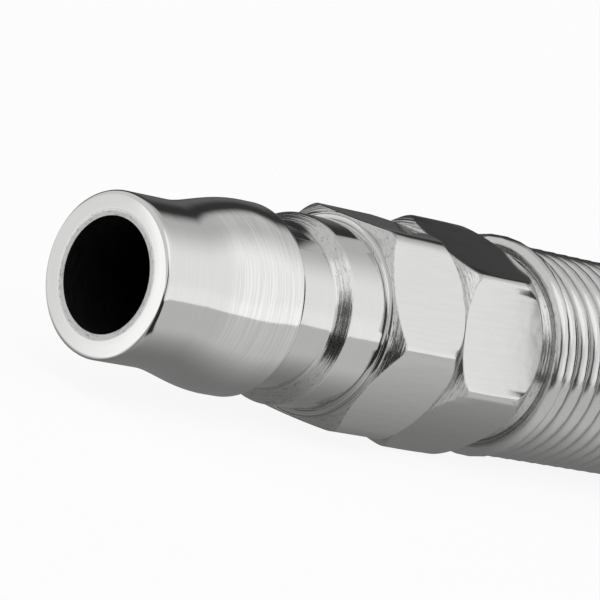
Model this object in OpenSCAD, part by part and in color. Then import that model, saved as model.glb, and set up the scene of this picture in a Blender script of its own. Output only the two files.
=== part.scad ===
// Spiral air hose: a moulded polyurethane coil with a quick-connect plug at one end and the
// matching quick-connect socket at the other. Both ends hold the hose with a hexagon nut over a
// nipple, behind a close-wound spring guard. Millimetres, +Z up, lying on the floor at z = 0.
// The plug points to -X. The socket lies beside the coil with its mouth to -X as well.

/* [Hose] */
// Outside diameter of the hose
hose_od = 8; // [7.6:0.1:8]
// Inside diameter of the hose
hose_id = 5; // [4.6:0.1:5.2]
// Diameter of the coil at the middle of the hose
coil_d = 60; // [57:1:62]
// Distance from one turn of the coil to the next
coil_pitch = 8.2; // [8.1:0.05:8.5]
// Number of turns in the coil
coil_turns = 25; // [20:1:30]

/* [Plug nose] */
// Diameter of the nose, which seals in the socket's packing
nose_d = 10.2; // [9.7:0.1:10.2]
// Length of the straight nose
nose_len = 3.7; // [3.3:0.1:4.5]
// Rounding of the nose's outer edge
nose_round = 0.3; // [0.1:0.05:0.5]
// Diameter of the air way in the nose
plug_bore = 7.1; // [6.4:0.1:7.4]
// Size of the countersink at the air way's mouth
plug_bore_edge = 0.1; // [0.05:0.05:0.5]
// Length of the smooth flare from nose to bulge
flare_len = 6.3; // [5.2:0.1:6.8]
// Diameter of the bulge that the locking balls hold, and of the collar behind the groove
bulge_d = 12; // [11.7:0.1:12.4]
// Length of the bulge
bulge_len = 1.1; // [0.9:0.1:2]
// Diameter of the locking groove behind the bulge
groove_d = 10.4; // [10:0.1:10.6]
// Length of the locking groove's floor
groove_len = 3.6; // [3.3:0.1:4]
// Length of the steep chamfer up to the collar
collar_rise = 0.7; // [0.4:0.1:1]
// Length of the collar
collar_len = 3.3; // [3:0.1:4.5]

/* [Plug hexagon] */
// Width across the flats of the plug's hexagon
plug_hex_af = 13; // [12.8:0.1:13.6]
// Length of the plug's hexagon
plug_hex_len = 6.8; // [6:0.1:8]
// Turn of each hexagon about the axis, away from a corner straight down
hex_turn = 22; // [15:0.5:29]

/* [Hose nut] */
// Width across the flats of the nut
nut_af = 13; // [12.6:0.1:13.6]
// Length of the nut's hexagon, its rear taper included
nut_len = 8.2; // [7.6:0.1:9.5]
// Length of the rounded rear taper
nut_taper_len = 2.8; // [1.5:0.1:3.4]
// Diameter at the rear end of the taper
nut_taper_d = 12; // [12:0.1:12.6]
// Length of the boss that carries the spring guard
nut_boss_len = 3; // [2.4:0.1:4]

/* [Hose joint] */
// Outside diameter of the thread under the nut
thread_d = 10; // [9.4:0.1:10.4]
// Length of the thread
thread_len = 4; // [3.5:0.1:4.4]
// How much wider the nipple is than the hose's inside
nipple_grip = 0.6; // [0.2:0.1:0.8]
// Length of the nipple
nipple_len = 5.5; // [4.5:0.1:5.5]
// Diameter of the air way in the nipple
nipple_bore = 4; // [3.4:0.1:4.2]

/* [Spring guard] */
// Diameter of the guard's wire
guard_wire = 1.15; // [1:0.05:1.25]
// Distance from one turn of the guard to the next
guard_pitch = 1.28; // [1.26:0.02:1.4]
// Number of turns of a guard
guard_turns = 34; // [10:1:34]
// Bare stretch of the nut's boss in front of the guard
guard_gap = 0.1; // [0.05:0.05:1]
// How much the start of the guard's wire opens out in radius
guard_bell = 0.38; // [0:0.02:0.4]

/* [Socket sleeve] */
// Outside diameter of the sleeve's ridges
sleeve_d = 25; // [24.4:0.1:26]
// Depth of the waist between the ridges
waist_depth = 0.7; // [0.3:0.1:0.8]
// Length of the sleeve
sleeve_len = 22.2; // [20:0.1:22.4]
// Distance of the sleeve's front edge from the socket's mouth
sleeve_inset = 0.8; // [0.4:0.1:1.2]
// Number of turned grooves in the waist
sleeve_grooves = 5; // [1:1:6]
// Width of a turned groove
sleeve_groove_w = 0.9; // [0.5:0.1:1.2]
// Depth of a turned groove
sleeve_groove_depth = 0.3; // [0.1:0.05:0.35]

/* [Socket lock] */
// Radius of a locking ball
ball_r = 1.45; // [1.3:0.05:1.5]
// Number of locking balls
ball_count = 6; // [3:1:7]
// Width of the ring that stops the sleeve
ring_w = 1; // [0.8:0.1:1]
// Distance of that ring from the socket's mouth
ring_inset = 2.6; // [1.8:0.1:2.6]
// Wire of the sleeve's spring
sleeve_wire = 0.9; // [0.7:0.05:1]
// Turns of the sleeve's spring
sleeve_spring_turns = 5.5; // [4:0.5:6]

/* [Socket body] */
// Radial room between the plug and the socket's bore
bore_gap = 0.1; // [0.05:0.05:0.2]
// Width of the packing ring
packing_w = 2.6; // [2.2:0.1:2.8]
// Outside diameter of the packing ring
packing_od = 13.2; // [12.6:0.1:13.6]
// Thickness of the web between packing and valve
web_w = 1; // [0.8:0.1:1.2]
// Diameter of the valve chamber
chamber_d = 14.4; // [14:0.1:14.6]
// Distance of the sleeve spring's shoulder from the mouth
shoulder_s = 20; // [19:0.1:21]
// Width across the flats of the socket body's hexagon
body_hex_af = 19; // [18:0.5:20]
// Length of the socket body's hexagon
body_hex_len = 6.4; // [5.4:0.1:8]

/* [Valve] */
// Travel of the valve when a plug is pushed home
valve_travel = 2.7; // [2.2:0.1:2.7]
// Diameter of the valve's tubular front
poppet_front_d = 9; // [8.6:0.1:9.2]
// Diameter of the valve's flange
poppet_flange_d = 12.8; // [12.2:0.1:13]
// Thickness of the valve's flange
poppet_flange_w = 1.4; // [1:0.1:1.6]
// Diameter of the valve's guide stem
poppet_stem_d = 3; // [2.6:0.1:3.4]
// Thickness of the valve's seal
valve_seal_w = 1; // [0.8:0.1:1.2]
// Wire of the valve's spring
valve_wire = 0.7; // [0.5:0.05:0.75]
// Turns of the valve's spring
valve_spring_turns = 4; // [3:0.5:4]
// Thickness of the perforated guide disc
guide_w = 2; // [1.6:0.1:2.6]
// Number of air holes in the guide disc
guide_holes = 6; // [3:1:6]

/* [Socket stem] */
// Outside diameter of the thread in the socket body
stem_thread_d = 15.6; // [15.2:0.1:16]
// Width across the flats of the stem's hexagon
stem_hex_af = 17; // [16.8:0.1:18.5]
// Length of the stem's hexagon
stem_hex_len = 4.2; // [3.6:0.1:6]
// Thickness of the sealing washer under that hexagon
gasket_w = 0.8; // [0.6:0.1:1.2]

/* [Hidden] */
$fn = 96;

// Clearances of the fits
slide_gap = 0.05;
thread_gap = 0.02;
// Length of cut that runs past a face
past = 1;

hose_r = hose_od / 2;
nose_r = nose_d / 2;
bulge_r = bulge_d / 2;
groove_r = groove_d / 2;
plug_bore_r = plug_bore / 2;
nipple_r = (hose_id + nipple_grip) / 2;
nipple_bore_r = nipple_bore / 2;
thread_r = thread_d / 2;
// Radius of a hexagon's corners, which are turned off by a little
corner_cut = 0.1;
function corner_r(af) = af / 2 / cos(30) - corner_cut;
// How far a hexagon reaches from its axis, in a direction that is so many degrees from a corner
function reach(af, away) = corner_r(af) * cos(max(0, away - 30 + acos(af / 2 / corner_r(af))));

// Stations along the plug, measured from the nose's face
bulge_t = nose_len + flare_len;
groove_t = bulge_t + bulge_len;
groove_end_t = groove_t + groove_len;
collar_t = groove_end_t + collar_rise;
plug_hex_t = collar_t + collar_len;
plug_nut_t = plug_hex_t + plug_hex_len;
bore_cone_len = 2;
bore_cone_t = plug_hex_t + 0.5;
flare_steps = 8;

// Hose joint, measured from the nut's front face
boss_end = nut_len + nut_boss_len;
nipple_end = thread_len + nipple_len;
nut_throat = thread_len + 0.6;
nut_throat_len = 1.6;
nut_bore_r = hose_r + slide_gap;
barb_r = nipple_r + 0.12;

// Spring guard: its inner side grips the boss
boss_wall = 1.74;
boss_r = nut_bore_r + boss_wall;
guard_mean_r = boss_r + guard_wire / 2;
guard_rest_r = boss_r + guard_wire;
guard_start = nut_len + guard_gap + guard_wire / 2;
guard_len = guard_turns * guard_pitch;
// Turn that puts the end of the wire at the back
guard_turn = 150;
// How far round the wire is still wider, which falls evenly from its start
bell_fall = 420;
function guard_bell_at(a) = guard_bell * max(0, 1 - a / bell_fall);
// The first turn lies against the second
guard_close = guard_pitch - sqrt(pow(guard_wire, 2) - pow(0.8 * guard_bell, 2));

// Height at which the plug lies: on one corner of each hexagon, or on the guard
plug_z = max(reach(max(plug_hex_af, nut_af), hex_turn), guard_rest_r + guard_bell_at(360 - guard_turn));

// Stations along the socket, measured from its mouth, for a plug pushed fully home
seat_gap = 0.5;
seated_tip = plug_hex_t - seat_gap;
function seated(t) = seated_tip - t;
mouth_r = bulge_r + bore_gap;
mouth_edge = 0.6;
bore_r = mouth_r + 0.2;
bore_end = seated(bulge_t) + 0.4;
nose_guide = seated(nose_len) - 0.5;
nose_guide_r = nose_r + 2 * bore_gap;
packing_s = nose_guide + 0.6;
packing_r = packing_od / 2;
packing_in_r = nose_r - 0.1;
web_s = packing_s + packing_w;
web_r = nose_r + bore_gap / 2;
valve_seat_s = web_s + web_w;
chamber_r = chamber_d / 2;

// Lock: the balls drop into the plug's groove and the sleeve's land holds them there
ball_s = seated(groove_t + groove_len / 2);
ball_ring_r = groove_r + ball_r + 0.05;
ball_play = 0.03;
body_r = ball_ring_r + ball_r;
land_r = body_r + slide_gap;
land_s = ring_inset + ring_w;
land_end = ball_s + ball_r + 2.1;
sleeve_travel = ball_s + ball_r - land_s;
mouth_end = ball_s - ball_r;
relief_r = mouth_r + 2 * ball_r + 0.2;
ring_r = relief_r - 0.3;
ring_root_r = body_r - 0.65;

// Sleeve and the shoulder that its skirt slides on
sleeve_r = sleeve_d / 2;
skirt_r = sleeve_r - waist_depth - sleeve_groove_depth - 1.15;
shoulder_r = skirt_r - slide_gap;
sleeve_end = sleeve_inset + sleeve_len;
body_hex_s = sleeve_end + sleeve_travel + 0.3;
body_end = body_hex_s + body_hex_len;
lip_len = 2.6;
waist_slope = 0.6;
sleeve_spring_r = (body_r + skirt_r) / 2;

// Valve
poppet_s = seated_tip - valve_travel;
poppet_front_r = poppet_front_d / 2;
poppet_wall = 1.1;
port_r = 0.65;
port_count = 4;
flange_s = valve_seat_s + valve_seal_w;
flange_end = flange_s + poppet_flange_w;
flange_r = poppet_flange_d / 2;
seal_r = flange_r - 0.2;
stem_r = poppet_stem_d / 2;
pilot_r = stem_r + 0.7;
pilot_len = 0.8;
valve_spring_r = pilot_r + 0.3 + valve_wire / 2;
guide_s = flange_end + valve_travel + valve_spring_turns * valve_wire + 0.3;
guide_end = guide_s + guide_w;
stem_end = guide_end + 0.6;
guide_hole_r = 1.5;
guide_hole_ring_r = 5.2;

// Stem that joins the socket body to the hose
stem_thread_r = stem_thread_d / 2;
gasket_r = stem_thread_r + 1.4;
stem_hex_s = body_end + gasket_w;
socket_nut_s = stem_hex_s + stem_hex_len;
stem_cavity_r = stem_thread_r - 1.9;

// Hose route between the fittings and the coil, chosen by hand. Each point is x, y and how far
// the hose is lifted: 0 lies on the floor and 1 is level with the fitting's axis.
// The lead counts x from the plug nut's front face.
LEAD_ROUTE = [[10, 0, 1], [25, 0, 1], [40, 0, 1], [57, 0, 1], [71, -3, 0.8], [82.5, -10.5, 0.4],
    [90, -22, 0.1], [93, -36, 0]];
// The tail counts x and y from the end of the coil.
TAIL_ROUTE = [[0, 0, 0], [0, -13, 0], [-4.5, -28, 0.15], [-16, -38, 0.5], [-32, -42, 0.85],
    [-46, -42, 1], [-61, -42, 1], [-76, -42, 1], [-92, -42, 1]];
tube_sides = 10;
lead_end = LEAD_ROUTE[len(LEAD_ROUTE) - 1];
tail_end = TAIL_ROUTE[len(TAIL_ROUTE) - 1];
hose_start = LEAD_ROUTE[0][0];

coil_len = coil_pitch * coil_turns;
coil_r = coil_d / 2;
coil_x = plug_nut_t + lead_end[0];
coil_y = lead_end[1];
coil_end_x = coil_x + coil_len;
socket_y = coil_y + tail_end[1];
socket_z = sleeve_r;
socket_nut_x = coil_end_x + tail_end[0] - hose_start;
socket_x = socket_nut_x - socket_nut_s;

function lead_point(p) = [plug_nut_t + p[0], p[1], hose_r + p[2] * (plug_z - hose_r)];
function tail_point(p) = [coil_end_x + p[0], coil_y + p[1], hose_r + p[2] * (socket_z - hose_r)];

// The origin is the middle of the two fittings' box, on the floor
front_x = 0;
back_x = socket_nut_x + guard_start + guard_len + guard_wire / 2;
side_y = max(reach(max(plug_hex_af, nut_af), 30 - hex_turn),
    guard_rest_r + guard_bell_at(450 - guard_turn));
origin_x = (front_x + back_x) / 2;
origin_y = (side_y + socket_y - sleeve_r) / 2;

chrome = [0.78, 0.79, 0.8];
steel = [0.6, 0.61, 0.63];
hose_black = [0.13, 0.13, 0.14];

// Places a shape drawn along +Z on the plug's or the socket's axis, from the given station
module on_plug(t = 0) {
    translate([t - origin_x, -origin_y, plug_z])
        rotate([0, 90, 0])
            children();
}

module on_socket(s = 0) {
    translate([socket_x + s - origin_x, socket_y - origin_y, socket_z])
        rotate([0, 90, 0])
            children();
}

// Solid of revolution from [radius, station] points
module turned(points) {
    rotate_extrude()
        polygon(points);
}

module bore(r, from, to) {
    translate([0, 0, from])
        cylinder(r = r, h = to - from);
}

// Hexagon with its corners turned off and its ends domed. cut is the radius left at an end.
module hexagon(af, length, turn, front_cut, front_len, rear_cut, rear_len) {
    full = corner_r(af);
    front = [for (u = [1:-0.25:0]) [full - (full - front_cut) * u * u, front_len * (1 - u)]];
    rear = [for (u = [0:0.25:1]) [full - (full - rear_cut) * u * u, length - rear_len * (1 - u)]];
    intersection() {
        rotate([0, 0, turn])
            cylinder(r = full + corner_cut, h = length, $fn = 6);
        turned(concat([[0, 0]], front, rear, [[0, length]]));
    }
}

function ring(i, sides) = [for (k = [0:sides - 1]) i * sides + k];

// Skin of a tube whose rings of points follow each other
module tube_skin(rings) {
    sides = len(rings[0]);
    count = len(rings);
    points = [for (r = rings) each r];
    walls = [for (i = [0:count - 2], k = [0:sides - 1])
        let (a = i * sides + k, b = i * sides + (k + 1) % sides)
        [a, b, b + sides, a + sides]];
    first = [for (k = [sides - 1:-1:0]) k];
    last = ring(count - 1, sides);
    polyhedron(points = points, faces = concat([first], walls, [last]), convexity = 10);
}

// Height of a six-sided wire's middle above the face that it rests on
function wire_seat(wire) = wire / 2 * cos(30);

// Wire of six sides wound round +Z. is_guard opens and closes up the first turn as a guard has it.
module wound_wire(wire, mean_r, length, turns, is_guard = false, steps = 12, sides = 6) {
    rise = length / turns / 360;
    slope = atan(rise * 180 / PI / mean_r);
    rings = [for (i = [0:round(turns * steps)])
        let (a = i * 360 / steps)
        let (r = mean_r + (is_guard ? guard_bell_at(a) : 0))
        let (h = a * rise + (is_guard ? guard_close * max(0, 1 - a / 360) : 0))
        [for (k = [0:sides - 1])
            let (f = k * 360 / sides, out = cos(f) * wire / 2, up = sin(f) * wire / 2)
            [(r + out) * cos(a) + up * sin(slope) * sin(a),
                (r + out) * sin(a) - up * sin(slope) * cos(a), h + up * cos(slope)]]];
    tube_skin(rings);
}

function unit(v) = v / norm(v);
function heading(route, i) = unit(route[min(i + 1, len(route) - 1)] - route[max(i - 1, 0)]);

// Round tube along a route of points that never runs straight up
module swept_tube(route, r) {
    rings = [for (i = [0:len(route) - 1])
        let (t = heading(route, i), side = unit(cross(t, [0, 0, 1])), up = cross(side, t))
        [for (k = [0:tube_sides - 1])
            let (f = k * 360 / tube_sides)
            route[i] + r * (cos(f) * side + sin(f) * up)]];
    tube_skin(rings);
}

// Thread and nipple that take the hose, from the nut's front face on
module hose_nipple() {
    turned([[nipple_bore_r, -past], [thread_r, -past], [thread_r, thread_len - 0.4],
        [thread_r - 0.4, thread_len], [nipple_r, thread_len], [nipple_r, nipple_end - 2],
        [barb_r, nipple_end - 1.6], [nipple_bore_r + 0.4, nipple_end], [nipple_bore_r, nipple_end]]);
}

// Nut that squeezes the hose on the nipple, with the boss for the guard
module hose_nut(turn) {
    difference() {
        union() {
            hexagon(nut_af, nut_len, turn, nut_af / 2, 1.2, nut_taper_d / 2, nut_taper_len);
            bore(boss_r, nut_len - past, boss_end);
        }
        turned([[0, -past], [thread_r + thread_gap, -past], [thread_r + thread_gap, nut_throat],
            [nut_bore_r, nut_throat + nut_throat_len], [nut_bore_r, boss_end + past],
            [0, boss_end + past]]);
    }
}

module spring_guard() {
    translate([0, 0, guard_start])
        rotate([0, 0, guard_turn])
            wound_wire(guard_wire, guard_mean_r, guard_len, guard_turns, true);
}

// Hollow in the hose's end, where the nipple sits
module nipple_room() {
    turned([[0, thread_len - past], [nipple_r, thread_len - past], [nipple_r, nipple_end - 2],
        [barb_r, nipple_end - 2], [barb_r, nipple_end + 0.3], [0, nipple_end + 0.3]]);
}

module plug_body() {
    flare = [for (i = [0:flare_steps])
        [nose_r + (bulge_r - nose_r) * (1 - cos(180 * i / flare_steps)) / 2,
            nose_len + flare_len * i / flare_steps]];
    nose_edge = [for (a = [0:30:90])
        [nose_r - nose_round * (1 - sin(a)), nose_round * (1 - cos(a))]];
    color(chrome)
        on_plug()
            difference() {
                union() {
                    turned(concat([[0, 0]], nose_edge, flare,
                        [[bulge_r, groove_t], [groove_r, groove_t], [groove_r, groove_end_t],
                        [bulge_r, collar_t], [bulge_r, plug_hex_t + past], [0, plug_hex_t + past]]));
                    translate([0, 0, plug_hex_t])
                        hexagon(plug_hex_af, plug_hex_len, hex_turn, plug_hex_af / 2 - 0.2, 1.1,
                            plug_hex_af / 2 - 0.05, 2);
                    translate([0, 0, plug_nut_t])
                        hose_nipple();
                }
                turned([[0, -past], [plug_bore_r + plug_bore_edge + past, -past],
                    [plug_bore_r, plug_bore_edge], [plug_bore_r, bore_cone_t],
                    [nipple_bore_r, bore_cone_t + bore_cone_len],
                    [nipple_bore_r, plug_nut_t + nipple_end + past], [0, plug_nut_t + nipple_end + past]]);
            }
}

module plug_nut() {
    color(chrome)
        on_plug(plug_nut_t)
            hose_nut(-hex_turn);
}

module plug_guard() {
    color(steel)
        on_plug(plug_nut_t)
            spring_guard();
}

module hose_lead() {
    nipple_foot = [thread_len, 0, 1];
    color(hose_black)
        difference() {
            translate([-origin_x, -origin_y, 0])
                swept_tube([for (p = concat([nipple_foot], LEAD_ROUTE)) lead_point(p)], hose_r);
            on_plug(plug_nut_t)
                nipple_room();
        }
}

// The coil's turns touch, so it is one tube with the coil's outer and inner diameter
module hose_coil() {
    color(hose_black)
        translate([coil_x - hose_r - origin_x, coil_y - origin_y, coil_r + hose_r])
            rotate([0, 90, 0])
                difference() {
                    cylinder(r = coil_r + hose_r, h = coil_len + hose_od);
                    bore(coil_r - hose_r, -past, coil_len + hose_od + past);
                }
}

module hose_tail() {
    nipple_foot = tail_end + [thread_len - hose_start, 0, 0];
    color(hose_black)
        difference() {
            translate([-origin_x, -origin_y, 0])
                swept_tube([for (p = concat(TAIL_ROUTE, [nipple_foot])) tail_point(p)], hose_r);
            on_socket(socket_nut_s)
                nipple_room();
        }
}

module socket_guard() {
    color(steel)
        on_socket(socket_nut_s)
            spring_guard();
}

module socket_nut() {
    color(chrome)
        on_socket(socket_nut_s)
            hose_nut(0);
}

module socket_stem() {
    color(chrome)
        on_socket()
            difference() {
                union() {
                    bore(stem_thread_r, guide_end, stem_hex_s + past);
                    translate([0, 0, stem_hex_s])
                        hexagon(stem_hex_af, stem_hex_len, 0, stem_hex_af / 2 + 0.5, 0.4,
                            stem_hex_af / 2 - 0.1, 0.8);
                    translate([0, 0, socket_nut_s])
                        hose_nipple();
                }
                turned([[0, guide_end - past], [stem_cavity_r, guide_end - past],
                    [stem_cavity_r, stem_hex_s - 0.5], [nipple_bore_r, socket_nut_s - 0.8],
                    [nipple_bore_r, socket_nut_s + nipple_end + past],
                    [0, socket_nut_s + nipple_end + past]]);
            }
}

module stem_gasket() {
    color([0.72, 0.42, 0.25])
        on_socket(body_end)
            difference() {
                cylinder(r = gasket_r, h = gasket_w);
                bore(stem_thread_r, -past, gasket_w + past);
            }
}

// Radial seats of the locking balls, narrower at the bore so that no ball falls through
module ball_seats() {
    narrow_r = sqrt(ball_r * ball_r - pow(ball_ring_r - bore_r, 2)) + 0.01;
    for (i = [0:ball_count - 1])
        rotate([0, 0, i * 360 / ball_count])
            translate([0, 0, ball_s])
                rotate([0, 90, 0]) {
                    translate([0, 0, bore_r - 0.6])
                        cylinder(r1 = narrow_r - 0.05, r2 = ball_r + ball_play, h = 1.1);
                    bore(ball_r + ball_play, ball_ring_r - 0.1, body_r + past);
                }
}

module socket_body() {
    color(chrome)
        on_socket()
            difference() {
                union() {
                    turned([[0, 0], [body_r - 0.5, 0], [body_r, 0.5], [body_r, ring_inset],
                        [ring_root_r, ring_inset], [ring_root_r, land_s], [body_r, land_s],
                        [body_r, shoulder_s], [shoulder_r, shoulder_s],
                        [shoulder_r, body_hex_s + past], [0, body_hex_s + past]]);
                    translate([0, 0, body_hex_s])
                        hexagon(body_hex_af, body_hex_len, 0, body_hex_af / 2 + 0.3, 0.7,
                            body_hex_af / 2 + 0.3, 0.7);
                }
                turned([[0, -past], [mouth_r + mouth_edge + past, -past], [mouth_r, mouth_edge],
                    [mouth_r, mouth_end], [bore_r, mouth_end], [bore_r, bore_end],
                    [nose_guide_r, nose_guide], [nose_guide_r, packing_s],
                    [packing_r, packing_s], [packing_r, web_s], [web_r, web_s], [web_r, valve_seat_s],
                    [chamber_r, valve_seat_s], [chamber_r, guide_s],
                    [stem_thread_r + thread_gap, guide_s], [stem_thread_r + thread_gap, body_end + past],
                    [0, body_end + past]]);
                ball_seats();
            }
}

module bore_packing() {
    lip = 0.45;
    color([0.08, 0.08, 0.08])
        on_socket(packing_s)
            turned([[packing_in_r + lip, 0], [packing_r, 0], [packing_r, packing_w],
                [packing_in_r + lip, packing_w], [packing_in_r, packing_w - lip], [packing_in_r, lip]]);
}

module locking_balls() {
    color(steel)
        on_socket(ball_s)
            for (i = [0:ball_count - 1])
                rotate([0, 0, i * 360 / ball_count])
                    translate([ball_ring_r, 0, 0])
                        sphere(r = ball_r);
}

// Open ring in the body's groove, which the sleeve's land stops against
module sleeve_retainer() {
    color(steel)
        on_socket(ring_inset)
            rotate([0, 0, 10])
                rotate_extrude(angle = 340)
                    translate([ring_root_r, 0])
                        square([ring_r - ring_root_r, ring_w]);
}

module socket_sleeve() {
    waist_r = sleeve_r - waist_depth;
    waist_from = sleeve_inset + lip_len;
    waist_to = sleeve_end - lip_len - 1.4;
    step = (waist_to - waist_from) / (sleeve_grooves + 1);
    color(chrome)
        on_socket()
            difference() {
                turned([[relief_r, sleeve_inset], [sleeve_r - 0.8, sleeve_inset],
                    [sleeve_r, sleeve_inset + 0.8], [sleeve_r, waist_from],
                    [waist_r, waist_from + waist_slope], [waist_r, waist_to - waist_slope],
                    [sleeve_r, waist_to], [sleeve_r, sleeve_end - 0.6],
                    [sleeve_r - 0.6, sleeve_end], [skirt_r, sleeve_end], [skirt_r, land_end],
                    [land_r, land_end], [land_r, land_s], [relief_r, land_s]]);
                for (i = [1:sleeve_grooves])
                    translate([0, 0, waist_from + i * step - sleeve_groove_w / 2])
                        difference() {
                            cylinder(r = sleeve_r + past, h = sleeve_groove_w);
                            bore(waist_r - sleeve_groove_depth, -past, sleeve_groove_w + past);
                        }
            }
}

module sleeve_spring() {
    color(steel)
        on_socket(land_end + wire_seat(sleeve_wire))
            wound_wire(sleeve_wire, sleeve_spring_r,
                shoulder_s - land_end - 2 * wire_seat(sleeve_wire), sleeve_spring_turns);
}

module valve_poppet() {
    inner_r = poppet_front_r - poppet_wall;
    color(steel)
        on_socket()
            difference() {
                turned([[0, valve_seat_s - 0.2], [inner_r, valve_seat_s - 0.2],
                    [inner_r, poppet_s], [poppet_front_r, poppet_s], [poppet_front_r, flange_s],
                    [flange_r, flange_s], [flange_r, flange_end], [pilot_r, flange_end],
                    [pilot_r, flange_end + pilot_len], [stem_r, flange_end + pilot_len],
                    [stem_r, stem_end - 0.4], [stem_r - 0.4, stem_end], [0, stem_end]]);
                for (i = [0:port_count - 1])
                    rotate([0, 0, i * 360 / port_count + 45])
                        translate([0, 0, valve_seat_s - 0.2 - port_r])
                            rotate([0, 90, 0])
                                bore(port_r, inner_r - past, poppet_front_r + past);
            }
}

module valve_seal() {
    color([0.08, 0.08, 0.08])
        on_socket(valve_seat_s)
            difference() {
                cylinder(r = seal_r, h = valve_seal_w);
                bore(poppet_front_r, -past, valve_seal_w + past);
            }
}

module valve_spring() {
    color(steel)
        on_socket(flange_end + wire_seat(valve_wire))
            wound_wire(valve_wire, valve_spring_r,
                guide_s - flange_end - 2 * wire_seat(valve_wire), valve_spring_turns);
}

module valve_guide() {
    color(chrome)
        on_socket(guide_s)
            difference() {
                cylinder(r = stem_thread_r, h = guide_w);
                bore(stem_r + slide_gap, -past, guide_w + past);
                for (i = [0:guide_holes - 1])
                    rotate([0, 0, i * 360 / guide_holes])
                        translate([guide_hole_ring_r, 0, 0])
                            bore(guide_hole_r, -past, guide_w + past);
            }
}

plug_body();
plug_nut();
plug_guard();
hose_lead();
hose_coil();
hose_tail();
socket_guard();
socket_nut();
socket_stem();
stem_gasket();
socket_body();
bore_packing();
locking_balls();
sleeve_retainer();
socket_sleeve();
sleeve_spring();
valve_poppet();
valve_seal();
valve_spring();
valve_guide();
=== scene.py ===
"""Spiral air hose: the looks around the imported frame.

The plug, its nut and its spring guard are what the photograph shows, so they are turned here with
rounded edges and fine turning marks. The hose, its coil and the socket use the same helpers.
Lengths in profiles and lists are in millimetres, and everything in the scene is in metres.
"""
import math
from types import SimpleNamespace

import bpy
import numpy as np
from mathutils import Matrix, Vector


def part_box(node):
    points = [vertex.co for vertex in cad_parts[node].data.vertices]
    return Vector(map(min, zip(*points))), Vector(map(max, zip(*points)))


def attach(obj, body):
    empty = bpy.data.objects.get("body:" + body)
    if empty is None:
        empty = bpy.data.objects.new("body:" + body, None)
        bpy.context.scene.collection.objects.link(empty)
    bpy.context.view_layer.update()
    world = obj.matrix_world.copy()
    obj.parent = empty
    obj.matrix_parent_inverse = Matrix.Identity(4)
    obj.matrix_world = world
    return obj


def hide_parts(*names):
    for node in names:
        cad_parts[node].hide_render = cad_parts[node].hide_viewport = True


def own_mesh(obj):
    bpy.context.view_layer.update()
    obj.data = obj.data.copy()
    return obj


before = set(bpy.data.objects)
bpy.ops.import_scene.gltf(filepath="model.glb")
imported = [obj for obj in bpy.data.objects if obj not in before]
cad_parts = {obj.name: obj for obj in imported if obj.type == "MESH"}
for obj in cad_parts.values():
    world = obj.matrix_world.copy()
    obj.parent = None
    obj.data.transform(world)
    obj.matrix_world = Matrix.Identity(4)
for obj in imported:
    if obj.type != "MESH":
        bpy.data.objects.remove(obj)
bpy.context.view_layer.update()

MM = 0.001


# Places in the frame

def axis_start(node):
    """The middle of a node's front end, on its axis, which runs along +X."""
    low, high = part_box(node)
    return Vector((low.x, (low.y + high.y) / 2, (low.z + high.z) / 2))


PLUG = axis_start("plug_body")
SOCKET = axis_start("socket_body")

# Stations from the plug's nose and from the socket's mouth
FLARE_T = 3.7
BULGE_T = 10.0
GROOVE_T = 11.1
GROOVE_END_T = 14.7
COLLAR_T = 15.4
PLUG_HEX_T = 18.7
PLUG_NUT_T = 25.5
SOCKET_NUT_S = 37.85
PLUG_NUT = PLUG + Vector((PLUG_NUT_T * MM, 0, 0))
SOCKET_NUT = SOCKET + Vector((SOCKET_NUT_S * MM, 0, 0))

# The stretch of the plug with turning streaks, and with a painted highlight: its colour is made lighter
# there on the upper side
STREAKS_AND_HIGHLIGHT_T = (FLARE_T + 1.2, GROOVE_T)

# Radii of the plug
BORE_R = 3.55
NOSE_R = 5.1
BULGE_R = 6.0
GROOVE_R = 5.2
HEX_FACE_R = 6.4
# The coarse ring round the bore: how deep it starts, how wide it is and where its marks end
BORE_EDGE = 0.05
BORE_RING = 0.42
COARSE_NOSE_R = BORE_R + 0.4
RIM_ROUND = 0.34
FLARE_STEPS = 16
# Inside, the bore narrows to the nipple's
BORE_CONE_T = PLUG_HEX_T + 0.5
BORE_CONE_LEN = 2.0

# Hose joint, measured from the nut's front face
THREAD_R = 5.0
THREAD_LEN = 4.0
NIPPLE_R = 2.8
NIPPLE_BORE_R = 2.0
NIPPLE_END = 9.5
NUT_LEN = 8.2
BOSS_END = 11.2
BOSS_R = 5.79
NUT_BORE_R = 4.05
NUT_CONE_START = 4.6
NUT_CONE_END = 6.2
THREAD_ROOM = 0.02
# Steps of the boss: the distance from the nut's rear end, the radius and the rounding
BOSS_STEPS = [(0, 5.95, 0), (0, 5.58, 0.03), (0.25, 5.58, 0.05), (0.77, 6.16, 0.06), (1.15, 6.16, 0.05),
              (1.25, BOSS_R, 0.05)]
BOSS_COARSE = 0.9

# Hexagons
HEX_AF = 13.0
HEX_TURN = 22.0
PLUG_HEX_ROUND = 1.2
NUT_ROUND = 0.62
CORNER_CUT = 0.1
# The domed ends: the radius left at the end and the dome's length
PLUG_HEX_FRONT = (HEX_AF / 2 - 0.2, 1.1)
PLUG_HEX_REAR = (HEX_AF / 2 - 0.05, 2.0)
NUT_FRONT = (HEX_AF / 2, 1.2)
NUT_REAR = (6.0, 2.8)

# Spring guard
GUARD_WIRE_R = 0.575
GUARD_MEAN_R = 6.365
GUARD_START = 8.875
GUARD_PITCH = 1.28
GUARD_TURNS = 34
GUARD_TURN = 150.0
GUARD_SIDES = 14
# The start of the wire opens out in radius and lies closer to the second turn
GUARD_BELL = 0.38
BELL_FALL = 420.0
GUARD_CLOSE = 0.171

# Hose and coil
HOSE_R = 4.0
COIL_R = 30.0
COIL_PITCH = 8.2
COIL_TURNS = 25
COIL_STEPS = 56
HOSE_SIDES = 24

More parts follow.
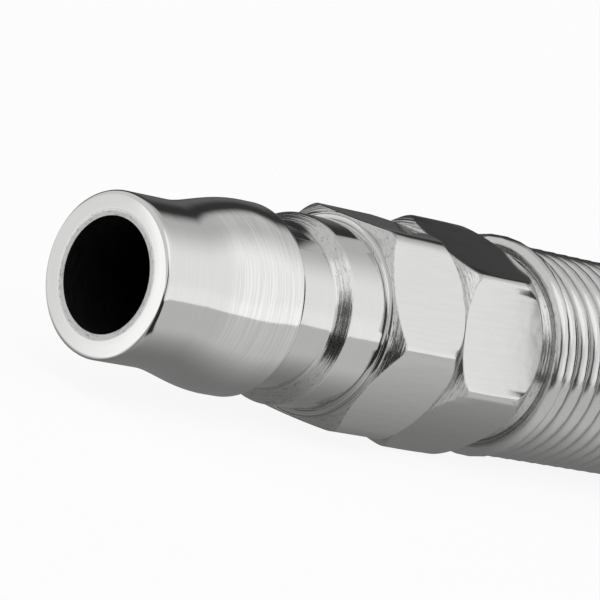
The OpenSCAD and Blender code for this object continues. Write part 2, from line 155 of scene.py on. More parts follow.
# Socket, from its mouth
SLEEVE_R = 12.5
SLEEVE_FRONT = 0.8
SLEEVE_END = 23.0
SLEEVE_SIDES = 256
MOUTH_R = 9.2
WAIST_START = 3.4
WAIST_END = 19.0
WAIST_DEPTH = 0.7
WAIST_RUN = 0.6
SLEEVE_GROOVES = 5
GROOVE_HALF = 0.45
GROOVE_DEPTH = 0.3
BALL_RING_S = 3.6
BALL_RING_R = 8.2
SLEEVE_BORE_R = 10.35
SLEEVE_SPRING_S = 8.85
SPRING_SIDES = 10

# The dark column of the studio: its direction, and the level direction across it
COLUMN_WAY = (-0.743, -0.669, 0.0)
COLUMN_SIDE = (-0.669, 0.743, 0.0)


# Camera: a long lens, low and to the front left of the plug

PHOTO_SIZE = 600
SENSOR = 36.0
LENS = 270.0
FOCAL_PX = LENS / SENSOR * PHOTO_SIZE
VIEW_TO_AXIS = math.radians(42.52)
ELEVATION = math.radians(11.02)
AXIS_SLOPE = math.radians(10.97)
NOSE_PX = (105.6, 274.6)
NOSE_DEPTH = 265 * MM


def make_camera():
    data = bpy.data.cameras.new("camera")
    data.lens = LENS
    data.sensor_width = SENSOR
    data.clip_start = 0.01
    data.clip_end = 20.0
    camera = bpy.data.objects.new("camera", data)
    bpy.context.scene.collection.objects.link(camera)
    azimuth = math.acos(math.cos(VIEW_TO_AXIS) / math.cos(ELEVATION))
    forward = Vector((math.cos(ELEVATION) * math.cos(azimuth),
                      math.cos(ELEVATION) * math.sin(azimuth), -math.sin(ELEVATION)))
    level_right = forward.cross(Vector((0, 0, 1))).normalized()
    level_up = level_right.cross(forward)
    roll = AXIS_SLOPE + math.atan2(level_up.x, level_right.x)
    right = level_right * math.cos(roll) + level_up * math.sin(roll)
    up = level_up * math.cos(roll) - level_right * math.sin(roll)
    across, down = [(p - PHOTO_SIZE / 2) / FOCAL_PX * NOSE_DEPTH for p in NOSE_PX]
    place = PLUG - forward * NOSE_DEPTH - right * across + up * down
    turn = Matrix((right, up, -forward)).transposed()
    camera.matrix_world = Matrix.Translation(place) @ turn.to_4x4()
    bpy.context.scene.camera = camera


# Shader nodes

def new_material(name):
    material = bpy.data.materials.new(name)
    material.use_nodes = True
    tree = material.node_tree
    tree.nodes.clear()
    return material, tree


def node(tree, kind, inputs=None, **settings):
    """Adds a node. inputs maps a socket's name or number to a value or to another node's output."""
    made = tree.nodes.new(kind)
    for name, value in settings.items():
        setattr(made, name, value)
    for key, value in (inputs or {}).items():
        if isinstance(value, bpy.types.NodeSocket):
            tree.links.new(value, made.inputs[key])
        else:
            made.inputs[key].default_value = value
    return made


def calc(tree, operation, *values):
    return node(tree, "ShaderNodeMath", dict(enumerate(values)), operation=operation).outputs[0]


def times(tree, *factors):
    product = factors[0]
    for factor in factors[1:]:
        product = calc(tree, "MULTIPLY", product, factor)
    return product


def dimmed(tree, level, mask, share):
    """The level with this share of it taken away where the mask is 1."""
    return times(tree, level, calc(tree, "MULTIPLY_ADD", mask, -share, 1.0))


def ramp(tree, value, start, end, low=0.0, high=1.0):
    """A smooth step from low to high as value goes from start to end."""
    return node(tree, "ShaderNodeMapRange",
                {"Value": value, "From Min": start, "From Max": end, "To Min": low, "To Max": high},
                interpolation_type="SMOOTHSTEP").outputs["Result"]


def vary(tree, pattern, low, high):
    """A step from low to high over the middle of a noise's range."""
    return ramp(tree, pattern, 0.3, 0.7, low, high)


def mix(tree, share, first, second):
    return node(tree, "ShaderNodeMix", {0: share, 2: first, 3: second}, data_type="FLOAT").outputs[0]


def combine(tree, x, y, z):
    return node(tree, "ShaderNodeCombineXYZ", {0: x, 1: y, 2: z}).outputs[0]


def scaled(tree, vector, scale):
    return node(tree, "ShaderNodeVectorMath", {0: vector, "Scale": scale}, operation="SCALE").outputs[0]


def noise(tree, vector, scale, detail=3.0, roughness=0.5):
    return node(tree, "ShaderNodeTexNoise",
                {"Vector": vector, "Scale": scale, "Detail": detail, "Roughness": roughness}).outputs["Fac"]


def about_axis(tree, start):
    """The place in millimetres from the start of an axis along X, whole and as x, y and z."""
    where = node(tree, "ShaderNodeTexCoord").outputs["Object"]
    moved = node(tree, "ShaderNodeVectorMath", {0: where, 1: start}, operation="SUBTRACT").outputs[0]
    place = scaled(tree, moved, 1 / MM)
    parts = node(tree, "ShaderNodeSeparateXYZ", {0: place}).outputs
    return SimpleNamespace(place=place, x=parts[0], y=parts[1], z=parts[2])


def radius_of(tree, at):
    return calc(tree, "SQRT", calc(tree, "ADD", times(tree, at.y, at.y), times(tree, at.z, at.z)))


def grooves(tree, x, at, along, across, detail=2.0, roughness=0.5):
    """A noise with one scale along the axis, over x, and another across it."""
    where = combine(tree, times(tree, x, along), times(tree, at.y, across), times(tree, at.z, across))
    return noise(tree, where, 1.0, detail, roughness)


def bump(tree, height, depth, normal=None, strength=1.0):
    """Relief of a depth in millimetres, over the relief of another bump's normal."""
    inputs = {"Strength": strength, "Distance": depth * MM, "Height": height}
    if normal is not None:
        inputs["Normal"] = normal
    return node(tree, "ShaderNodeBump", inputs).outputs[0]


def surface(tree, shader):
    node(tree, "ShaderNodeOutputMaterial", {"Surface": shader})


def principled(tree, inputs):
    surface(tree, node(tree, "ShaderNodeBsdfPrincipled", inputs).outputs[0])


def plate_colour(tree, tone):
    """Plating is a trace warmer than grey."""
    return combine(tree, tone, tone, times(tree, tone, 0.985))


# What the turned attribute of a mesh says about its surface
FLAT, TURNED, COARSE, RINGED = 0.0, 1.0, 2.0, 3.0


def plated_metal(name, start, streaks_and_highlight=None):
    """Bright plating over steel. The turned attribute tells drawn flats, finely turned surfaces,
    chamfers, where the tool left coarse marks, and the hexagons' domes, where it left rings.
    The last argument is the stretch of the axis where turning streaks show, with a painted highlight
    along them that makes the colour up to a fifth lighter on the upper side."""
    grey, roughness = 0.8, 0.07
    material, tree = new_material(name)
    at = about_axis(tree, start)
    along = calc(tree, "ADD", at.x, radius_of(tree, at))
    turned = node(tree, "ShaderNodeAttribute", attribute_name="turned").outputs["Fac"]
    coarse = ramp(tree, turned, TURNED, COARSE)
    ringed = ramp(tree, turned, COARSE, RINGED)
    drawn = grooves(tree, at.x, at, 0.35, 5.0)
    marks = mix(tree, turned, drawn, grooves(tree, along, at, 9.0, 0.25))
    rings = grooves(tree, along, at, 5.0, 0.2)
    specks = grooves(tree, along, at, 8.0, 2.5, 4.0, 0.7)
    grain = noise(tree, at.place, 14.0, 2.0)
    waves = noise(tree, at.place, 0.7, 1.0)
    chatter = calc(tree, "MULTIPLY_ADD", times(tree, rings, 2.0), ringed, rings)
    chatter = times(tree, calc(tree, "MULTIPLY_ADD", specks, 0.5, chatter), coarse)
    normal = bump(tree, marks, 0.0008)
    normal = bump(tree, grain, 0.0005, normal)
    normal = bump(tree, waves, 0.004, normal)
    normal = bump(tree, chatter, 0.02, normal)
    rough = ramp(tree, grain, 0.25, 0.75, roughness * 0.7, roughness * 1.5)
    rough = calc(tree, "MULTIPLY_ADD", coarse, 0.08, rough)
    tone = vary(tree, marks, grey * 0.975, grey)
    tone = times(tree, tone, ramp(tree, times(tree, specks, coarse), 0.5, 0.7, 1.0, 0.55))
    tone = dimmed(tree, tone, coarse, 0.1)
    # Painted highlight: along the turning streaks of this stretch the colour is made lighter, on the upper
    # side only.
    if streaks_and_highlight:
        highlight_stretch = times(tree, ramp(tree, at.x, streaks_and_highlight[0], streaks_and_highlight[0] + 1.2),
                       ramp(tree, at.x, streaks_and_highlight[1] + 0.05, streaks_and_highlight[1]), ramp(tree, at.z, -3.0, 0.5))
        painted_highlight = times(tree, highlight_stretch, ramp(tree, marks, 0.35, 0.65, 0.05, 0.2))
        tone = times(tree, tone, calc(tree, "ADD", painted_highlight, 1.0))
    principled(tree, {"Base Color": plate_colour(tree, tone), "Metallic": 1.0, "Roughness": rough,
                      "Normal": normal})
    return material


def dark_bore(name, start):
    """The unplated steel of an air way, its colour painted near black as painted shade deep inside the bore.
    """
    material, tree = new_material(name)
    at = about_axis(tree, start)
    rings = grooves(tree, at.x, at, 6.0, 1.0)
    tone = vary(tree, rings, 0.004, 0.012)
    principled(tree, {"Base Color": combine(tree, tone, tone, tone), "Roughness": 0.55,
                      "Specular IOR Level": 0.2, "Normal": bump(tree, rings, 0.01, strength=0.6)})
    return material


def spring_wire(name, start):
    """Drawn and plated spring wire, with fine marks across the coil's axis and painted shade deep between
    its turns past the first one: its colour darkens toward the coil's inside. start is the nut's front end."""
    grey = 0.78
    material, tree = new_material(name)
    at = about_axis(tree, start)
    marks = grooves(tree, at.x, at, 10.0, 0.5)
    spots = noise(tree, at.place, 6.0, 2.0)
    # Painted shade: past the first turn, the wire's colour is made up to 70% darker toward the coil's
    # inside, deep between the turns.
    deep = ramp(tree, radius_of(tree, at), 6.75, 6.3)
    gap_shade = times(tree, deep, ramp(tree, at.x, 9.6, 10.4))
    tone = dimmed(tree, vary(tree, spots, grey * 0.96, grey), gap_shade, 0.7)
    principled(tree, {"Base Color": plate_colour(tree, tone), "Metallic": 1.0,
                      "Roughness": vary(tree, spots, 0.15, 0.21), "Normal": bump(tree, marks, 0.0012)})
    return material


def plain_metal(name, colour, roughness):
    """Turned metal of the socket's inner pieces."""
    material, tree = new_material(name)
    at = about_axis(tree, SOCKET)
    rings = grooves(tree, calc(tree, "ADD", at.x, radius_of(tree, at)), at, 8.0, 0.3)
    principled(tree, {"Base Color": scaled(tree, colour, vary(tree, rings, 0.85, 1.0)), "Metallic": 1.0,
                      "Roughness": vary(tree, rings, roughness, roughness * 1.4),
                      "Normal": bump(tree, rings, 0.002)})
    return material


def dull(name, colour, roughness):
    """Moulded rubber or pressed fibre."""
    material, tree = new_material(name)
    grain = noise(tree, about_axis(tree, SOCKET).place, 8.0, 4.0)
    principled(tree, {"Base Color": scaled(tree, colour, vary(tree, grain, 0.8, 1.1)),
                      "Roughness": vary(tree, grain, roughness * 0.85, roughness),
                      "Normal": bump(tree, grain, 0.02, strength=0.4)})
    return material


def polyurethane(name):
    """Extruded hose: glossy, with a faint ripple and slow changes of tone."""
    material, tree = new_material(name)
    where = node(tree, "ShaderNodeTexCoord").outputs["Object"]
    cloud = noise(tree, where, 60.0, 3.0)
    ripple = noise(tree, where, 900.0, 2.0)
    colour = node(tree, "ShaderNodeMix", {0: vary(tree, cloud, 0.0, 1.0), 6: (0.010, 0.010, 0.011, 1.0),
                                          7: (0.018, 0.018, 0.019, 1.0)}, data_type="RGBA").outputs[2]
    principled(tree, {"Base Color": colour, "Roughness": vary(tree, ripple, 0.2, 0.3), "Coat Weight": 0.3,
                      "Coat Roughness": 0.12, "Normal": bump(tree, ripple, 0.04, strength=0.25)})
    return material


# Meshes

def mesh_piece(name, points, faces, materials, face_materials=None, turned=None):
    """A smooth mesh object from points in metres."""
    mesh = bpy.data.meshes.new(name)
    mesh.from_pydata([tuple(p) for p in points], [], [tuple(f) for f in faces])
    mesh.shade_smooth()
    for material in materials:
        mesh.materials.append(material)
    if face_materials is not None:
        mesh.polygons.foreach_set("material_index", np.array(face_materials, np.int32))
    attribute = mesh.attributes.new("turned", "FLOAT", "POINT")
    attribute.data.foreach_set("value", np.full(len(points), TURNED, np.float32) if turned is None
                               else np.array(turned, np.float32))
    piece = bpy.data.objects.new(name, mesh)
    bpy.context.scene.collection.objects.link(piece)
    return piece


def weigh_normals(piece):
    """Keeps flat faces flat beside their small rounded edges."""
    modifier = piece.modifiers.new("normals", "WEIGHTED_NORMAL")
    modifier.keep_sharp = True
    modifier.weight = 90


def grid_faces(rows, columns, close_rows):
    """Faces of a grid that closes round its columns, and round its rows too if close_rows."""
    last = rows if close_rows else rows - 1
    i, j = np.meshgrid(np.arange(last), np.arange(columns), indexing="ij")
    here, beside = i * columns + j, i * columns + (j + 1) % columns
    below = ((i + 1) % rows) * columns + j
    across = ((i + 1) % rows) * columns + (j + 1) % columns
    return np.stack([here, beside, across, below], -1).reshape(-1, 4)


def softened(profile, radius=0.06, steps=3):
    """The closed outline of [x, r] points with each corner rounded. A third number sets its radius."""
    count = len(profile)
    out = []
    for k, corner in enumerate(profile):
        here = np.array(corner[:2], float)
        before, after = np.array(profile[k - 1][:2], float), np.array(profile[(k + 1) % count][:2], float)
        size = corner[2] if len(corner) > 2 else radius
        into, away = before - here, after - here
        cut_in = min(size, np.linalg.norm(into) * 0.45)
        cut_out = min(size, np.linalg.norm(away) * 0.45)
        if size == 0:
            out.append(here)
            continue
        start = here + into / np.linalg.norm(into) * cut_in
        end = here + away / np.linalg.norm(away) * cut_out
        for s in range(steps + 1):
            f = s / steps
            out.append(start * (1 - f) ** 2 + 2 * here * f * (1 - f) + end * f * f)
    return out


SECTOR = [0, 0.6, 1.2, 1.8, 2.4, 3.2, 4.5, 6, 8, 10, 12.5, 15, 17.5, 20, 22.5, 25, 27.5, 30]


def sector_angles(corner):
    """Angles about the axis in degrees, closer together at six corners. 0 points to +Y, 90 up."""
    half = SECTOR + [60 - a for a in reversed(SECTOR[1:-1])]
    return np.array([corner + 60 * k + a for k in range(6) for a in half])


def hexagon_radius(angles, corner, width, rounding):
    """Radius of a hexagon with rounded corners at each angle."""
    off = (angles - corner + 30) % 60 - 30
    flat = width / 2 / np.cos(np.radians(30 - np.abs(off)))
    centre = (width / 2 - rounding) / math.cos(math.radians(30))
    side = centre * np.sin(np.radians(off))
    arc = centre * np.cos(np.radians(off)) + np.sqrt(np.clip(rounding ** 2 - side ** 2, 0, None))
    meets = math.degrees(math.atan2(rounding / 2, centre + rounding * math.cos(math.radians(30))))
    return np.where(np.abs(off) < meets, np.minimum(flat, arc), flat)


def hexagon_rows(angles, corner, width, rounding, start, length, front, rear, edge=0.05):
    """Rows of a hexagon whose ends are domed. front and rear are (radius left at the end, length).

    Each row is (x, r, turned) with one value for each angle. The rows follow the curved edges of the
    flats, which are rounded a little, and turned goes from RINGED to FLAT there."""
    radius = hexagon_radius(angles, corner, width, rounding)
    full = width / 2 / math.cos(math.radians(30)) - CORNER_CUT

    def dome_rows(cut, run):
        drop = full - cut
        meet = run * (1 - np.sqrt(np.clip((full - radius) / drop, 0, 1)))
        slope = 2 * drop * np.clip(1 - meet / run, 0.08, None) / run
        soft = np.minimum(edge / slope, meet * 0.45 + 0.01)

        def dome(x):
            return full - drop * np.clip(1 - x / run, 0, None) ** 2

        made = []
        for k in (0.0, 0.3, 0.6, 0.85):
            x = (meet - soft) * k
            made.append((x, np.minimum(dome(x), radius), np.full_like(radius, RINGED)))
        for k in (-1.0, -0.4, 0.0, 0.4, 1.0):
            x = meet + soft * k
            a = dome(x)
            near = np.clip(edge - np.abs(a - radius), 0, None)
            made.append((x, np.minimum(a, radius) - near ** 2 / (4 * edge),
                         np.full_like(radius, FLAT + (RINGED - FLAT) * (1 - k) / 2)))
        return made

    rows = dome_rows(*front)
    for k in (0.3, 0.5, 0.7):
        rows.append((np.full_like(radius, front[1] + (length - front[1] - rear[1]) * k), radius,
                     np.full_like(radius, FLAT)))
    rows += [(length - x, r, t) for x, r, t in reversed(dome_rows(*rear))]
    return [(start + x, r, t) for x, r, t in rows]


def turned_piece(name, start, angles, rows, materials, pick=None):
    """A closed solid of revolution from rows of (x, r, turned), about an axis along +X.

    pick gives the number of the material between a row's radius and the next one's."""
    count = len(angles)
    cos, sin = np.cos(np.radians(angles)), np.sin(np.radians(angles))
    full = [tuple(np.broadcast_to(np.asarray(v, float), (count,)) for v in row) for row in rows]
    points = [np.stack([x, r * cos, r * sin], -1) * MM + np.array(start) for x, r, _ in full]
    faces = grid_faces(len(full), count, True)
    marks = np.concatenate([t for _, _, t in full])
    kinds = None
    if pick is not None:
        kinds = np.repeat([pick(full[i][1].mean(), full[(i + 1) % len(full)][1].mean())
                           for i in range(len(full))], count)
    piece = mesh_piece(name, np.concatenate(points), faces, materials, kinds, marks)
    weigh_normals(piece)
    return piece


def round_rows(profile):
    return [(x, r, TURNED) for x, r in profile]


def tube_points(path, radius, sides):
    """Rings of points round a path in metres, turned as little as possible from ring to ring."""
    ahead = np.gradient(path, axis=0)
    ahead /= np.linalg.norm(ahead, axis=1)[:, None]
    side = np.cross(ahead[0], (0.0, 0.0, 1.0))
    side /= np.linalg.norm(side)
    rings = []
    turn = np.arange(sides) * 2 * np.pi / sides
    for centre, forward in zip(path, ahead):
        side = side - forward * side.dot(forward)
        side /= np.linalg.norm(side)
        top = np.cross(forward, side)
        rings.append(centre + radius * (np.cos(turn)[:, None] * side + np.sin(turn)[:, None] * top))
    return np.concatenate(rings)


def tube_piece(name, path, radius, sides, materials):
    points = tube_points(path, radius, sides)
    faces = grid_faces(len(path), sides, False)
    ends = [tuple(range(sides)), tuple(range(len(points) - 1, len(points) - sides - 1, -1))]
    return mesh_piece(name, points, [tuple(f)[::-1] for f in faces] + ends, materials)


def wound_path(start, mean_r, length, turns, bell=0.0, close=0.0, turn=0.0, per_turn=40):
    """A helix about an axis along +X, in metres, which starts straight down before its turn.

    bell is how much its start opens out, and close how much its first turn is drawn to the second."""
    a = np.linspace(0, turns * 360, int(turns * per_turn) + 1)
    r = mean_r + bell * np.clip(1 - a / BELL_FALL, 0, None)
    x = a / 360 * length / turns + close * np.clip(1 - a / 360, 0, None)
    at = np.radians(a + turn)
    return np.stack([x, r * np.sin(at), -r * np.cos(at)], -1) * MM + np.array(start)


# The route of the hose, at the same points as in the part's source: x and y in millimetres from where
# the stretch starts, and the share of the fitting's height over the hose lying on the floor

LEAD_ROUTE = [[4, 0, 1], [10, 0, 1], [25, 0, 1], [40, 0, 1], [57, 0, 1], [71, -3, 0.8], [82.5, -10.5, 0.4],
              [90, -22, 0.1], [93, -36, 0]]
TAIL_ROUTE = [[0, 0, 0], [0, -13, 0], [-4.5, -28, 0.15], [-16, -38, 0.5], [-32, -42, 0.85],
              [-46, -42, 1], [-61, -42, 1], [-76, -42, 1], [-92, -42, 1], [-98, -42, 1]]


def smooth_curve(points, first_heading, last_heading, steps=10):
    """A smooth curve through the points, which leaves and arrives along the given headings."""
    p = np.array(points, float)
    gap_in, gap_out = np.linalg.norm(p[1] - p[0]), np.linalg.norm(p[-1] - p[-2])
    p = np.vstack([p[1] - 2 * gap_in * np.array(first_heading), p,
                   p[-2] + 2 * gap_out * np.array(last_heading)])
    out = []
    for k in range(1, len(p) - 2):
        a, b, c, d = p[k - 1:k + 3]
        for s in range(steps):
            f = s / steps
            out.append(0.5 * (2 * b + (c - a) * f + (2 * a - 5 * b + 4 * c - d) * f ** 2
                              + (3 * b - a - 3 * c + d) * f ** 3))
    out.append(p[-2])
    return np.array(out)


def hose_path():
    nose = np.array(PLUG) / MM
    lead = [[nose[0] + PLUG_NUT_T + x, nose[1] + y, HOSE_R + h * (nose[2] - HOSE_R)]
            for x, y, h in LEAD_ROUTE]
    coil_start = np.array(lead[-1])
    turns = np.arange(1, COIL_TURNS * COIL_STEPS) / COIL_STEPS
    wound = turns * 2 * np.pi
    coil = np.stack([coil_start[0] + COIL_PITCH * turns, coil_start[1] - COIL_R * np.sin(wound),
                     coil_start[2] + COIL_R * (1 - np.cos(wound))], -1)
    coil_end = coil_start + [COIL_PITCH * COIL_TURNS, 0, 0]
    lift = SOCKET.z / MM - HOSE_R
    tail = [[coil_end[0] + x, coil_end[1] + y, HOSE_R + h * lift] for x, y, h in TAIL_ROUTE]
    first = smooth_curve(lead, (1, 0, 0), (0, -1, 0))
    last = smooth_curve(tail, (0, -1, 0), (-1, 0, 0))
    return np.concatenate([first, coil, last]) * MM


def make_hose(material):
    path = hose_path()
    piece = tube_piece("hose", path, HOSE_R * MM, HOSE_SIDES, [material])
    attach(piece, "root")
    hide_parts("hose_lead", "hose_coil", "hose_tail")


# The fittings

def nipple_rows(at):
    """Thread, nipple and its bore, from the nut's front face on."""
    return round_rows(softened([(at, THREAD_R, 0), (at + THREAD_LEN, THREAD_R), (at + THREAD_LEN, NIPPLE_R),
                                (at + NIPPLE_END, NIPPLE_R), (at + NIPPLE_END, NIPPLE_BORE_R)]))


def make_plug_body(metal, dark):
    corner = -90 + HEX_TURN
    angles = sector_angles(corner)
    nose = [(BORE_EDGE, BORE_R, 0), (0, BORE_R + BORE_RING, 0.05), (0, NOSE_R, RIM_ROUND), (0.5, NOSE_R, 0),
            (FLARE_T * 0.5, NOSE_R, 0)]
    flare = [(FLARE_T + (BULGE_T - FLARE_T) * k / FLARE_STEPS,
              NOSE_R + (BULGE_R - NOSE_R) * (1 - math.cos(math.pi * k / FLARE_STEPS)) / 2, 0)
             for k in range(FLARE_STEPS + 1)]
    neck = [(GROOVE_T - 0.3, BULGE_R, 0), (GROOVE_T, BULGE_R, 0.22), (GROOVE_T, GROOVE_R, 0.1),
            (GROOVE_END_T, GROOVE_R, 0.2), (COLLAR_T, BULGE_R, 0.12), (PLUG_HEX_T, BULGE_R, 0.15),
            (PLUG_HEX_T, HEX_FACE_R, 0.05)]
    rows = [(x, r, COARSE if GROOVE_END_T < x < COLLAR_T or r < COARSE_NOSE_R else TURNED)
            for x, r in softened(nose + flare + neck)]
    rows += hexagon_rows(angles, corner, HEX_AF, PLUG_HEX_ROUND, PLUG_HEX_T, PLUG_NUT_T - PLUG_HEX_T,
                         PLUG_HEX_FRONT, PLUG_HEX_REAR)
    rows += nipple_rows(PLUG_NUT_T)
    rows += round_rows([(BORE_CONE_T + BORE_CONE_LEN, NIPPLE_BORE_R), (BORE_CONE_T, BORE_R), (1.0, BORE_R),
                        (BORE_EDGE, BORE_R)])

    def is_bore(r, next_r):
        return int(max(r, next_r) < BORE_R + 0.01)

    piece = turned_piece("plug_turned", PLUG, angles, rows, [metal, dark], is_bore)
    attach(piece, "root")
    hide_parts("plug_body")


def make_nut(name, node_name, start, turn, metal):
    corner = -90 + turn
    angles = sector_angles(corner)
    rows = hexagon_rows(angles, corner, HEX_AF, NUT_ROUND, 0, NUT_LEN, NUT_FRONT, NUT_REAR)
    boss = [(NUT_LEN + x, r, rounding) for x, r, rounding in BOSS_STEPS]
    boss += [(BOSS_END, BOSS_R, 0.15), (BOSS_END, NUT_BORE_R, 0.1), (NUT_CONE_END, NUT_BORE_R),
             (NUT_CONE_START, THREAD_R + THREAD_ROOM), (0, THREAD_R + THREAD_ROOM, 0.1)]
    rows += [(x, r, COARSE if NUT_LEN < x < NUT_LEN + BOSS_COARSE else TURNED) for x, r in softened(boss)]
    piece = turned_piece(name, start, angles, rows, [metal])
    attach(piece, "root")
    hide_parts(node_name)


def make_guard(name, node_name, start, wire):
    path = wound_path(start + Vector((GUARD_START * MM, 0, 0)), GUARD_MEAN_R, GUARD_TURNS * GUARD_PITCH,
                      GUARD_TURNS, GUARD_BELL, GUARD_CLOSE, GUARD_TURN)
    piece = tube_piece(name, path, GUARD_WIRE_R * MM, GUARD_SIDES, [wire])
    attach(piece, "root")
    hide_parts(node_name)


def make_sleeve(metal):
    waist = SLEEVE_R - WAIST_DEPTH
    outline = [(SLEEVE_FRONT, MOUTH_R, 0.1), (SLEEVE_FRONT, SLEEVE_R - 0.8, 0.2),
               (SLEEVE_FRONT + 0.8, SLEEVE_R, 0.3), (WAIST_START, SLEEVE_R, 0.15),
               (WAIST_START + WAIST_RUN, waist, 0.15)]
    for k in range(1, SLEEVE_GROOVES + 1):
        middle = WAIST_START + (WAIST_END - WAIST_START) * k / (SLEEVE_GROOVES + 1)
        outline += [(middle + GROOVE_HALF * side, waist - depth, 0.08)
                    for side, depth in ((-1, 0), (-1, GROOVE_DEPTH), (1, GROOVE_DEPTH), (1, 0))]
    outline += [(WAIST_END - WAIST_RUN, waist, 0.15), (WAIST_END, SLEEVE_R, 0.15),
                (SLEEVE_END - 0.6, SLEEVE_R, 0.2), (SLEEVE_END, SLEEVE_R - 0.6, 0.15),
                (SLEEVE_END, SLEEVE_BORE_R, 0.1), (SLEEVE_SPRING_S, SLEEVE_BORE_R),
                (SLEEVE_SPRING_S, BALL_RING_R), (BALL_RING_S, BALL_RING_R), (BALL_RING_S, MOUTH_R)]
    angles = np.arange(SLEEVE_SIDES) * 360.0 / SLEEVE_SIDES
    piece = turned_piece("sleeve_turned", SOCKET, angles, round_rows(softened(outline)), [metal])
    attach(piece, "sleeve")
    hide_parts("socket_sleeve")


def finish_cad_node(name, material, edge=0.05):
    """Gives a CAD node its material, and small rounded edges where edge isn't 0."""
    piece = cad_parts[name]
    piece.data.materials.clear()
    piece.data.materials.append(material)
    if edge:
        weld = piece.modifiers.new("weld", "WELD")
        weld.merge_threshold = 0.0005 * MM
        bevel = piece.modifiers.new("bevel", "BEVEL")
        bevel.width = edge * MM
        bevel.segments = 2
        bevel.limit_method = "ANGLE"
        bevel.angle_limit = math.radians(35)
        weigh_normals(piece)


def make_moving_spring(name, node_name, start_s, end_s, wire_r, mean_r, turns, material):
    """A wound spring, built from its end that stays."""
    path = wound_path(SOCKET + Vector(((start_s + wire_r) * MM, 0, 0)), mean_r, end_s - start_s - 2 * wire_r,
                      turns, per_turn=28)
    piece = tube_piece(name, path, wire_r * MM, SPRING_SIDES, [material])
    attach(piece, "root")
    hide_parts(node_name)
    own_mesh(piece)


# Floor, world and lamp

def make_floor():
    """White where the camera sees it. What the metal mirrors is painted greyer beside and under the plug as
    painted shade, and darker in two patches, in front of the plug and far behind it, as painted reflection.

    The masks are in millimetres from the spot under the nose."""
    bpy.ops.mesh.primitive_plane_add(size=6.0, location=(0, 0, 0))
    floor = bpy.context.object
    floor.name = "floor"
    material, tree = new_material("floor")
    at = about_axis(tree, (PLUG.x, PLUG.y, 0.0))
    # Painted shade and painted reflection: the level the metal mirrors falls beside and under the plug, and
    # in two patches.
    beside = ramp(tree, calc(tree, "ABSOLUTE", at.y), 3.0, 13.0, 0.19, 0.54)
    ahead = times(tree, ramp(tree, at.x, 0.0, -4.0), ramp(tree, at.y, -6.0, 0.0))
    across = ramp(tree, calc(tree, "MULTIPLY_ADD", at.x, 0.9, at.y), 6.0, -7.0, 0.82, 1.16)
    shade = times(tree, ramp(tree, at.x, 8.5, 6.0), ramp(tree, at.y, -8.5, -11.0))
    away = times(tree, ramp(tree, at.x, 20.0, 45.0), ramp(tree, at.y, 10.0, 25.0))
    level = dimmed(tree, mix(tree, ahead, beside, across), shade, 0.95)
    level = dimmed(tree, level, away, 0.85)
    seen = node(tree, "ShaderNodeAddShader", {
        0: node(tree, "ShaderNodeBsdfDiffuse", {"Color": (0.12, 0.12, 0.12, 1)}).outputs[0],
        1: node(tree, "ShaderNodeEmission", {"Color": (1, 1, 1, 1), "Strength": 0.9}).outputs[0]}).outputs[0]
    mirrored = node(tree, "ShaderNodeEmission", {"Color": (1, 1, 1, 1), "Strength": level}).outputs[0]
    is_camera = node(tree, "ShaderNodeLightPath").outputs["Is Camera Ray"]
    surface(tree, node(tree, "ShaderNodeMixShader", {0: is_camera, 1: mirrored, 2: seen}).outputs[0])
    floor.data.materials.append(material)


def make_world():
    """White where the camera sees it. To the object it is a soft studio, with a dark screen behind
    the plug and a dark column in front of it, which the chamfers mirror."""
    world = bpy.data.worlds.new("studio")
    bpy.context.scene.world = world
    world.use_nodes = True
    tree = world.node_tree
    tree.nodes.clear()
    heading = node(tree, "ShaderNodeTexCoord").outputs["Generated"]
    x, y, z = node(tree, "ShaderNodeSeparateXYZ", {0: heading}).outputs

    def share_of(way):
        """How much of the heading points this way."""
        return node(tree, "ShaderNodeVectorMath", {0: heading, 1: way},
                    operation="DOT_PRODUCT").outputs["Value"]

    level = mix(tree, ramp(tree, x, 0.3, -0.3), ramp(tree, y, -0.4, 0.25, 0.9, 0.5), 0.68)
    low_sky = times(tree, ramp(tree, y, -0.55, -0.63), ramp(tree, z, 0.35, 0.15))
    level = calc(tree, "MULTIPLY_ADD", low_sky, 0.06, level)
    screen_top = calc(tree, "MULTIPLY_ADD", ramp(tree, x, 0.65, 0.3), -0.2, z)
    screen = times(tree, ramp(tree, y, 0.15, 0.35), ramp(tree, screen_top, 0.66, 0.5),
                   ramp(tree, x, -0.2, 0.0))
    level = dimmed(tree, level, screen, 0.93)
    level = calc(tree, "MULTIPLY_ADD", times(tree, screen, ramp(tree, z, 0.42, 0.15)), 0.08, level)
    off_column = calc(tree, "ABSOLUTE", share_of(COLUMN_SIDE))
    column = times(tree, ramp(tree, off_column, 0.3, 0.12), ramp(tree, z, 0.68, 0.45),
                   ramp(tree, share_of(COLUMN_WAY), 0.3, 0.5))
    level = dimmed(tree, level, column, 0.92)
    is_camera = node(tree, "ShaderNodeLightPath").outputs["Is Camera Ray"]
    background = node(tree, "ShaderNodeBackground", {"Color": (1, 1, 1, 1),
                                                     "Strength": mix(tree, is_camera, level, 1.0)})
    node(tree, "ShaderNodeOutputWorld", {"Surface": background.outputs[0]})


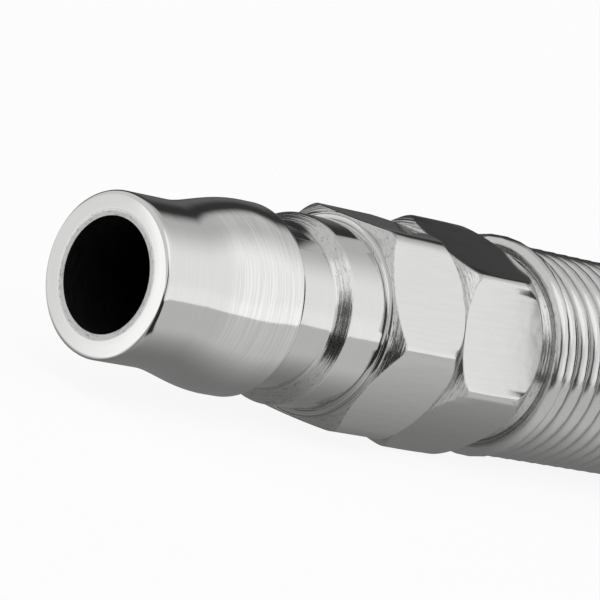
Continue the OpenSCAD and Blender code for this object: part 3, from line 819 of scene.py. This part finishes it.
def make_lamp(name, place, target, size, power):
    data = bpy.data.lights.new(name, "AREA")
    data.shape = "DISK"
    data.size = size
    data.energy = power
    lamp = bpy.data.objects.new(name, data)
    lamp.location = place
    lamp.rotation_mode = "QUATERNION"
    lamp.rotation_quaternion = (Vector(target) - Vector(place)).to_track_quat("-Z", "Y")
    bpy.context.scene.collection.objects.link(lamp)


bpy.context.scene.view_settings.view_transform = "Standard"
make_camera()
make_floor()
make_world()
make_lamp("key", place=(-0.5, -0.6, 1.0), target=(0, 0, 0), size=1.2, power=1.4)

nickel = plated_metal("nickel_plug", PLUG, STREAKS_AND_HIGHLIGHT_T)
nickel_socket = plated_metal("nickel_socket", SOCKET)
bore_dark = dark_bore("air_way", PLUG)
guard_steel = spring_wire("guard_plug", PLUG_NUT)
guard_steel_socket = spring_wire("guard_socket", SOCKET_NUT)
spring_steel = plain_metal("spring_steel", (0.55, 0.56, 0.58), roughness=0.2)
brass = plain_metal("brass", (0.75, 0.53, 0.26), roughness=0.16)
black_rubber = dull("black_rubber", (0.02, 0.02, 0.02), roughness=0.6)
fibre = dull("fibre", (0.32, 0.1, 0.05), roughness=0.7)
black_hose = polyurethane("polyurethane")

make_hose(black_hose)
make_plug_body(nickel, bore_dark)
make_nut("plug_nut_turned", "plug_nut", PLUG_NUT, -HEX_TURN, nickel)
make_guard("plug_guard_wire", "plug_guard", PLUG_NUT, guard_steel)
make_nut("socket_nut_turned", "socket_nut", SOCKET_NUT, 0, nickel_socket)
make_guard("socket_guard_wire", "socket_guard", SOCKET_NUT, guard_steel_socket)
make_sleeve(nickel_socket)
make_moving_spring("sleeve_spring_wire", "sleeve_spring",
                   start_s=SLEEVE_SPRING_S, end_s=20.0, wire_r=0.45, mean_r=9.25, turns=5.5,
                   material=spring_steel)
make_moving_spring("valve_spring_wire", "valve_spring",
                   start_s=20.6, end_s=26.4, wire_r=0.35, mean_r=2.85, turns=4, material=spring_steel)
for cad_name in ("socket_body", "socket_stem"):
    finish_cad_node(cad_name, nickel_socket)
for cad_name in ("valve_poppet", "valve_guide"):
    finish_cad_node(cad_name, brass, 0.04)
for cad_name in ("locking_balls", "sleeve_retainer"):
    finish_cad_node(cad_name, spring_steel, 0)
for cad_name in ("bore_packing", "valve_seal"):
    finish_cad_node(cad_name, black_rubber, 0)
finish_cad_node("stem_gasket", fibre, 0.04)
